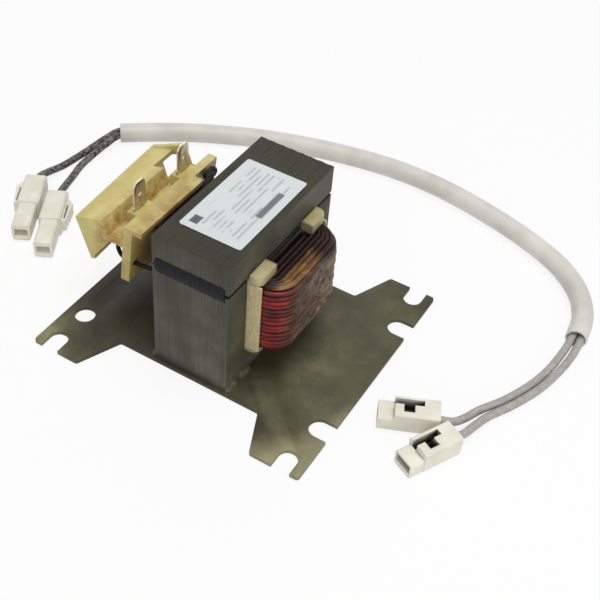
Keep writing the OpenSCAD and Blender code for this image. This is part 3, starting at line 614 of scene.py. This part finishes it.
# Glass sleeving, woven and varnished: black, with the weave as small soft bumps
def black_sleeving():
    made, tree, shader, place = material("black_glass_sleeving", 1.5)
    # The braid is about 0.4 mm, drawn at 0.7 mm so that it shows in the render
    braid = add(tree, "TexVoronoi", {"Vector": place, "Scale": 1 / (0.7 * mm)}).outputs["Distance"]
    tone = add(tree, "ValToRGB", {"Fac": braid}, stops=[
        (0.1, "#0a0807"), (0.8, "#1d1613"),
    ]).outputs["Color"]
    relief = add(tree, "Bump", {"Height": braid, "Strength": 0.7, "Distance": 0.12 * mm}).outputs["Normal"]
    feed(tree, shader, {"Base Color": tone, "Roughness": 0.6, "Normal": relief, "Specular IOR Level": 0.16})
    return made


# Vulcanised fibre of the air gap: a dark, matt, faintly streaked edge
def fibre_sheet():
    made, tree, shader, place = material("vulcanised_fibre", 1.5)
    strands = add(tree, "TexNoise", {
        "Vector": place, "Scale": 1 / (0.8 * mm), "Detail": 3.0,
    }).outputs["Fac"]
    tone = add(tree, "ValToRGB", {"Fac": strands}, stops=[
        (0.3, "#12100e"), (0.7, "#262219"),
    ]).outputs["Color"]
    feed(tree, shader, {"Base Color": tone, "Roughness": 0.8, "Specular IOR Level": 0.2})
    return made


# Extruded vinyl sleeve: pale and faintly waxy, with slow waves in its wall
def pale_vinyl():
    made, tree, shader, place = material("extruded_pale_vinyl", 1.49)
    cloud = add(tree, "TexNoise", {"Vector": place, "Scale": 1 / (14 * mm), "Detail": 3.0}).outputs["Fac"]
    tone = add(tree, "ValToRGB", {"Fac": cloud}, stops=[
        (0.32, "#c9c7bd"), (0.7, "#dedcd3"),
    ]).outputs["Color"]
    waves = add(tree, "TexNoise", {"Vector": place, "Scale": 1 / (2.5 * mm), "Detail": 2.0}).outputs["Fac"]
    relief = add(tree, "Bump", {"Height": waves, "Strength": 0.25, "Distance": 0.05 * mm}).outputs["Normal"]
    gloss = add(tree, "MapRange", {"Value": cloud, "To Min": 0.32, "To Max": 0.46}).outputs["Result"]
    feed(tree, shader, {"Base Color": tone, "Roughness": gloss, "Normal": relief})
    return made


# Lead wires in a woven glass cover: grey, mottled by the strands, and darker towards the left end
def woven_cover():
    made, tree, shader, place = material("woven_grey_cover", 1.5)
    # The strands are about 0.4 mm, drawn at 0.85 mm so that they show in the render
    strand = add(tree, "TexVoronoi", {"Vector": place, "Scale": 1 / (0.85 * mm)})
    light = add(tree, "RGBToBW", {"Color": strand.outputs["Color"]}).outputs["Val"]
    paler_tone = add(tree, "ValToRGB", {"Fac": light}, stops=[
        (0.2, "#9d9a93"), (0.8, "#b1aea6"),
    ]).outputs["Color"]
    darker_tone = add(tree, "ValToRGB", {"Fac": light}, stops=[
        (0.3, "#232221"), (0.75, "#7b7974"),
    ]).outputs["Color"]
    across = add(tree, "SeparateXYZ", {"Vector": place}).outputs["X"]
    share = add(tree, "MapRange", {
        "Value": across, "From Min": -95 * mm, "From Max": 60 * mm,
    }).outputs["Result"]
    tone = add(tree, "Mix", {0: share, 6: darker_tone, 7: paler_tone}, data_type="RGBA").outputs[2]
    relief = add(tree, "Bump", {
        "Height": strand.outputs["Distance"], "Strength": 0.4, "Distance": 0.06 * mm,
    }).outputs["Normal"]
    gloss = add(tree, "MapRange", {"Value": light, "To Min": 0.45, "To Max": 0.6}).outputs["Result"]
    feed(tree, shader, {
        "Base Color": tone, "Roughness": gloss, "Normal": relief, "Specular IOR Level": 0.35,
    })
    return made


# Printed polyester film: cool white and satin, with plain grey rows, a dark square and a dark bar
def label_film():
    made, tree, shader, place = material("printed_polyester_film", 1.57)
    at = add(tree, "SeparateXYZ", {"Vector": place})
    x, y = at.outputs["X"], at.outputs["Y"]
    # Rows that run along the label; each breaks off where slow noise, its own in each row, says
    row_pitch = 1.9 * mm
    row = add(tree, "Math", {0: x, 1: row_pitch}, operation="SNAP").outputs[0]
    wave = add(tree, "Math", {0: x, 1: row}, operation="SUBTRACT").outputs[0]
    middle = add(tree, "Math", {0: wave, 1: row_pitch / 2}, operation="SUBTRACT").outputs[0]
    off = add(tree, "Math", {0: middle}, operation="ABSOLUTE").outputs[0]
    line = add(tree, "MapRange", {
        "Value": off, "From Min": 0.6 * mm, "From Max": 0.25 * mm,
    }).outputs["Result"]
    spot = add(tree, "CombineXYZ", {"X": row, "Y": y}).outputs["Vector"]
    apart = add(tree, "Mapping", {"Vector": spot, "Scale": (30, 1, 1)}).outputs["Vector"]
    break_off = add(tree, "TexNoise", {
        "Vector": apart, "Scale": 1 / (8 * mm), "Detail": 1.0,
    }).outputs["Fac"]
    printed = add(tree, "MapRange", {
        "Value": break_off, "From Min": 0.44, "From Max": 0.52,
    }).outputs["Result"]
    grey = add(tree, "Math", {0: line, 1: printed}, operation="MULTIPLY").outputs[0]
    # The middle and the half size of each field of the print, in mm
    fields = {
        "rows": ((0.4, -1.5), (8.6, 17.5)),
        "square": ((-7.7, -18.4), (1.6, 2.0)),
        "bar": ((8.3, 1.5), (1.2, 7.5)),
    }
    soft_edge = 0.25 * mm
    inside = {}
    for field, (centres, halves) in fields.items():
        past = []
        for value, centre, half in zip((x, y), centres, halves):
            shifted = add(tree, "Math", {0: value, 1: centre * mm}, operation="SUBTRACT").outputs[0]
            reach = add(tree, "Math", {0: shifted}, operation="ABSOLUTE").outputs[0]
            past.append(add(tree, "Math", {0: reach, 1: half * mm}, operation="SUBTRACT").outputs[0])
        beyond = add(tree, "Math", {0: past[0], 1: past[1]}, operation="MAXIMUM").outputs[0]
        inside[field] = add(tree, "MapRange", {
            "Value": beyond, "From Min": soft_edge, "From Max": -soft_edge,
        }).outputs["Result"]
    rows = add(tree, "Math", {0: grey, 1: inside["rows"]}, operation="MULTIPLY").outputs[0]
    faint = add(tree, "Math", {0: rows, 1: 0.5}, operation="MULTIPLY").outputs[0]
    tone = add(tree, "Mix", {
        0: faint, 6: colour("#cfd5d5"), 7: colour("#7d878c"),
    }, data_type="RGBA").outputs[2]
    for field, ink in (("square", "#3a474d"), ("bar", "#5d676b")):
        tone = add(tree, "Mix", {0: inside[field], 6: tone, 7: colour(ink)}, data_type="RGBA").outputs[2]
    feed(tree, shader, {"Base Color": tone, "Roughness": 0.4, "Specular IOR Level": 0.35})
    return made


plate_finish = galvanised_sheet()
core_finish = lamination_steel()
weld_finish = weld_metal("varnished_weld", "#121314", "#1e2022")
tack_finish = weld_metal("olive_grey_weld", "#413f2d", "#66634b")
bobbin_finish = moulded_nylon("cream_nylon_varnished", "#a59a70", "#c0b68d", 0.42, painted_shade_on_bobbin)
holder_finish = moulded_nylon("cream_nylon", "#c5b56e", "#d5c685", 0.42, painted_shade_on_holder)
ivory_finish = moulded_nylon("ivory_nylon", "#dedac9", "#ebe7da", 0.4)
# The right housings' ivory, with painted shade in its windows
ivory_shaded_finish = moulded_nylon("ivory_nylon_with_painted_shade", "#e0dccb", "#efebde", 0.4, painted_window_shade)
wire_finish = enamelled_wire()
board_finish = pressboard()
tin_finish = tinned_brass()
black_finish = black_sleeving()
gap_finish = fibre_sheet()
tube_finish = pale_vinyl()
grey_finish = woven_cover()
shaded_brass_finish = brass_in_painted_shade()
label_finish = label_film()


# Camera, from the photograph's viewing angle

def set_camera():
    azimuth, elevation, roll = math.radians(27.055), math.radians(44.062), math.radians(5.418)
    target, distance = Vector((12.237, 21.954, 0)) * mm, 413.505 * mm
    focal_px, image_px, sensor = 1088.512, 600, 36
    back = Vector((
        math.sin(azimuth) * math.cos(elevation),
        -math.cos(azimuth) * math.cos(elevation),
        math.sin(elevation),
    ))
    right = Vector((math.cos(azimuth), math.sin(azimuth), 0))
    up = back.cross(right)
    across = right * math.cos(roll) + up * math.sin(roll)
    upward = up * math.cos(roll) - right * math.sin(roll)
    at = target + back * distance
    lens = bpy.data.cameras.new("camera")
    lens.sensor_width = sensor
    lens.lens = focal_px * sensor / image_px
    lens.clip_start = 0.01
    camera = bpy.data.objects.new("camera", lens)
    camera.matrix_world = Matrix((
        (across.x, upward.x, back.x, at.x),
        (across.y, upward.y, back.y, at.y),
        (across.z, upward.z, back.z, at.z),
        (0, 0, 0, 1),
    ))
    scene.collection.objects.link(camera)
    scene.camera = camera


set_camera()


# How far the edges of each kind of piece are eased, in mm

plate_edge, moulding_edge, housing_edge = 0.3, 0.3, 0.35
tab_edge, receptacle_edge, stack_edge = 0.15, 0.03, 0.035


# Lead set: two wires in a sleeve, with a housing on each end, lying on the floor, in mm

sleeve_points = [
    (-104, 63), (-92, 72.5), (-79, 81.5), (-64, 90), (-48, 97.5), (-31, 103.5), (-14, 108), (4, 111),
    (22, 111.5), (40, 109.5), (58, 105.5), (74, 100.5), (89, 93.5), (100.5, 83.5), (107, 71.5), (109, 59),
]
sleeve_d, sleeve_wall, wire_d, wire_step = 8.2, 0.7, 3.0, 1.6
sleeve_route = [Vector((x, y, sleeve_d / 2)) for x, y in sleeve_points]


def in_sleeve(step):
    """The sleeve's route shifted to one side, where a wire lies in it."""
    last = len(sleeve_route) - 1
    shifted = []
    for i, at in enumerate(sleeve_route):
        ahead = (sleeve_route[min(i + 1, last)] - sleeve_route[max(i - 1, 0)]).normalized()
        shifted.append(at + step * Vector((ahead.y, -ahead.x, 0)))
    return shifted


wire_a_route = (
    [(-109.4, 14.8, 4.5), (-111.58, 18.74, 4.5), (-112, 25, 3.1), (-111.4, 32.5, 1.6)]
    + [(-110.2, 41.5, 1.6), (-109.4, 50, 1.7), (-107.8, 57.5, 2.8)]
    + in_sleeve(-wire_step)
    + [(110.6, 50, 2.8), (108.9, 40, 1.6), (106.1, 29.2, 1.6), (101.4, 17.8, 1.6), (96.3, 8, 1.8)]
    + [(94.3, 1, 2.8), (92.87, -4.84, 3.6), (90.6, -9.3, 3.6)]
)
wire_b_route = (
    [(-96, 12, 4.5), (-98.18, 15.94, 4.5), (-100.6, 21.5, 3), (-103.2, 29, 1.6)]
    + [(-105.2, 37, 1.6), (-106, 45.5, 1.6), (-105.2, 54, 2.8)]
    + in_sleeve(wire_step)
    + [(107.1, 50, 2.8), (105.6, 40, 1.6), (102.9, 29.8, 1.6), (98.1, 18.5, 1.6), (92.6, 9, 1.8)]
    + [(90, 2, 2.8), (87.53, -2.49, 3.6), (83, -4.6, 3.6)]
)


def lead_set():
    housings = {}
    for name in ("left_a", "left_b", "right_a", "right_b"):
        housing, receptacle = "housing_" + name, "receptacle_" + name
        # The right housings get painted shade in their windows
        made = ivory_shaded_finish if name.startswith("right") else ivory_finish
        housings[name] = [
            put(eased(housing, housing_edge), housing, made, "ivory_moulding"),
            # The receptacles' brass is coloured dark as painted shade
            put(eased(receptacle, receptacle_edge, steps=1), receptacle, shaded_brass_finish, "tinned_metal"),
        ]
    ends = {"wire_a": (wire_a_route, "left_a", "right_b"), "wire_b": (wire_b_route, "left_b", "right_a")}
    for name, (points, start, end) in ends.items():
        line = flowing(points)
        wire = put(tube(name, line, wire_d), name, grey_finish, "grey_insulation")
        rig.cord(
            wire, exit=line[0], length=run_of(line), diameter=wire_d * mm, far_end="connector",
            stiffness="medium", lay="loose", path=line, with_pieces=housings[start] + housings[end],
        )
    line = flowing(sleeve_route)
    sleeve = tube("sleeve", line, sleeve_d, closed_ends=False, sides=8)
    wall = sleeve.modifiers.new("wall", "SOLIDIFY")
    wall.thickness = sleeve_wall * mm
    wall.offset = -1
    pick(sleeve)
    bpy.ops.object.modifier_apply(modifier=wall.name)
    smooth(sleeve, 50)
    put(sleeve, "sleeve", tube_finish, "pale_sleeving")
    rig.cord(
        sleeve, exit=line[0], length=run_of(line), diameter=sleeve_d * mm, far_end="bare",
        stiffness="medium", lay="loose", path=line,
    )


lead_set()


# Coil: sixteen turns of round wire, the turns of the layers below showing at top and bottom, in mm

coil_x, coil_y, coil_z0, coil_z1, coil_corner, turns = 29.0, 20.6, 14.1, 43.8, 9.0, 16
turn_d = (coil_z1 - coil_z0) / turns
turn_overlap = 1.02
end_back, next_back, usual_back = 1.2, 0.4, 0.12
inner_layers, layer_step_y, least_corner = 5, 0.98, 1.2


def turn_loop(half_x, half_y, corner, z):
    """One turn: a rectangle with its corners rounded, made a round wire."""
    bpy.ops.object.select_all(action="DESELECT")
    bpy.ops.mesh.primitive_plane_add(size=2, location=(0, 0, z * mm))
    loop = bpy.context.view_layer.objects.active
    loop.scale = (half_x * mm, half_y * mm, 1)
    bpy.ops.object.transform_apply(location=True, rotation=True, scale=True)
    bpy.ops.object.mode_set(mode="EDIT")
    bpy.ops.mesh.select_all(action="SELECT")
    bpy.ops.mesh.delete(type="ONLY_FACE")
    bpy.ops.mesh.select_all(action="SELECT")
    bpy.ops.mesh.bevel(offset=corner * mm, segments=9, affect="VERTICES")
    bpy.ops.object.mode_set(mode="OBJECT")
    bpy.ops.object.convert(target="CURVE")
    loop = bpy.context.view_layer.objects.active
    loop.data.bevel_depth = turn_d / 2 * turn_overlap * mm
    loop.data.bevel_resolution = 4
    loop.data.use_fill_caps = False
    bpy.ops.object.convert(target="MESH")
    return bpy.context.view_layer.objects.active


def wind_coil():
    r = turn_d / 2
    loops = []
    # How far each turn sits inside the coil's outline: most at both ends, and a little unevenly between
    uneven = [0, 0.12, -0.1, 0.06, -0.05, 0.1, -0.12, 0.03]
    for i in range(turns):
        from_end = min(i, turns - 1 - i)
        if from_end == 0:
            back = end_back
        elif from_end == 1:
            back = next_back
        else:
            back = usual_back + uneven[i % len(uneven)]
        height = coil_z0 + (2 * i + 1) * r
        loops.append(turn_loop(coil_x - r - back, coil_y - r - back, coil_corner - r, height))
    for layer in range(1, inner_layers + 1):
        half_x = coil_x - r - end_back - layer * turn_d
        half_y = coil_y - r - end_back - layer * layer_step_y
        corner = max(coil_corner - r - layer * turn_d, least_corner)
        for height in (coil_z0 + r, coil_z1 - r):
            loops.append(turn_loop(half_x, half_y, corner, height))
    pick(*loops)
    bpy.ops.object.join()
    coil = bpy.context.view_layer.objects.active
    smooth(coil, 50)
    put(coil, "coil", wire_finish, "enamelled_wire")


wind_coil()


# Winding ends in black sleeving, in mm

lead_near_route = [
    (-21.72, -21.35, 28.4), (-24.34, -20.5, 28.4), (-29.1, -21, 28.4), (-36.1, -21, 28.4),
    (-37.9, -21.1, 29.6), (-39.3, -20.4, 32), (-39.5, -18, 33.5), (-37.6, -16.45, 33.5),
    (-36.2, -14.75, 33.5), (-36.2, -12.85, 33.5),
]
lead_far_route = [
    (-23.7, 10.6, 43.8), (-23.7, 10.6, 44.6), (-23.7, 11.6, 45.7), (-24.4, 14.2, 46.4), (-26.2, 16.8, 46.5),
    (-26.7, 19.18, 46.1), (-27.1, 20.58, 44.7), (-28.2, 20.88, 42.6), (-29.8, 20.88, 41.5),
    (-34.8, 20.88, 41.2), (-36.6, 20.88, 39.8), (-36.6, 20.88, 37.9),
]
lead_near_d, lead_far_d, lead_spacing = 1.6, 3.0, 0.6
leads = {"lead_near": (lead_near_route, lead_near_d), "lead_far": (lead_far_route, lead_far_d)}
for lead, (points, diameter) in leads.items():
    put(tube(lead, flowing(points, lead_spacing), diameter), lead, black_finish, "black_sleeving")


# Solids that keep their CAD shape, with their edges eased

put(eased("base_plate", plate_edge), "base_plate", plate_finish, "plate_steel")
# The holder's shortest edges stay sharp, because the bevel is held to what fits the shortest edge in it
holder = eased("terminal_holder", moulding_edge, least=1.2, merge=0.26)
put(holder, "terminal_holder", holder_finish, "cream_moulding")
put(eased("bobbin", moulding_edge), "bobbin", bobbin_finish, "cream_moulding")
for stack in ("e_stack", "i_stack"):
    put(eased(stack, stack_edge, steps=1), stack, core_finish, "core_steel")
for tab in ("tab_near", "tab_far"):
    put(eased(tab, tab_edge), tab, tin_finish, "tinned_metal")


# Solids shown as they are

kept = {
    "gap_spacer": gap_finish,
    "plate_welds": tack_finish, "seam_weld_near": weld_finish, "seam_weld_far": weld_finish,
    "liner_near": board_finish, "liner_far": board_finish, "label": label_finish,
}
for node, made in kept.items():
    solids[node].data.materials.clear()
    solids[node].data.materials.append(made)


# Floor and light

def background_rays(tree):
    """1 for the rays that see the background: from the camera, by gloss and through glass."""
    ray = add(tree, "LightPath").outputs
    seen = add(tree, "Math", {
        0: ray["Is Camera Ray"], 1: ray["Is Glossy Ray"],
    }, operation="MAXIMUM").outputs[0]
    return add(tree, "Math", {0: seen, 1: ray["Is Transmission Ray"]}, operation="MAXIMUM").outputs[0]


def lay_floor():
    """A white floor that looks nearly as white as the background and keeps the object's shadow."""
    floor_size, floor_z, glow_share = 8, -0.0002, 0.86
    bpy.ops.object.select_all(action="DESELECT")
    bpy.ops.mesh.primitive_plane_add(size=floor_size, location=(0, 0, floor_z))
    floor = bpy.context.view_layer.objects.active
    floor.name = "floor"
    white = bpy.data.materials.new("white_floor")
    white.use_nodes = True
    tree = white.node_tree
    tree.nodes.remove(tree.nodes["Principled BSDF"])
    matt = add(tree, "BsdfDiffuse", {"Color": colour("#f4f4f4")}).outputs["BSDF"]
    glow = add(tree, "Emission", {"Color": (1, 1, 1, 1), "Strength": 1.0}).outputs["Emission"]
    share = add(tree, "Math", {0: background_rays(tree), 1: glow_share}, operation="MULTIPLY").outputs[0]
    blend = add(tree, "MixShader", {0: share, 1: matt, 2: glow}).outputs["Shader"]
    feed(tree, tree.nodes["Material Output"], {"Surface": blend})
    floor.data.materials.append(white)
    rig.stage(floor)


def light_world():
    """A white world that lights the object softly."""
    soft_light = 0.3
    world = bpy.data.worlds.new("studio")
    scene.world = world
    world.use_nodes = True
    tree = world.node_tree
    level = add(tree, "MapRange", {
        "Value": background_rays(tree), "To Min": soft_light, "To Max": 1.0,
    }).outputs["Result"]
    feed(tree, tree.nodes["Background"], {"Color": (1, 1, 1, 1), "Strength": level})


def hang_lamps():
    """Soft lamps, each with its place and width in metres and its power in watts."""
    lamps = {
        "key": ((0.12, 0.02, 1.0), 0.55, 5.7),
        "fill": ((0.85, -0.5, 0.35), 0.6, 2.2),
        "front": ((0.05, -0.95, 0.5), 0.6, 1.3),
        "rim": ((-0.5, 0.7, 0.6), 0.5, 1.0),
    }
    aim = Vector((0, 0, 0.03))
    for name, (at, size, power) in lamps.items():
        lamp = bpy.data.lights.new(name, "AREA")
        lamp.size = size
        lamp.energy = power
        stand = bpy.data.objects.new(name, lamp)
        stand.location = at
        stand.rotation_euler = (aim - Vector(at)).to_track_quat("-Z", "Y").to_euler()
        scene.collection.objects.link(stand)


lay_floor()
light_world()
hang_lamps()
scene.view_settings.view_transform = "Standard"

json.dump(
    {"cad": [list(corner) for corner in cad_box], "visual": [list(corner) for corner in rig.bounds()]},
    open("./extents.json", "w"),
)
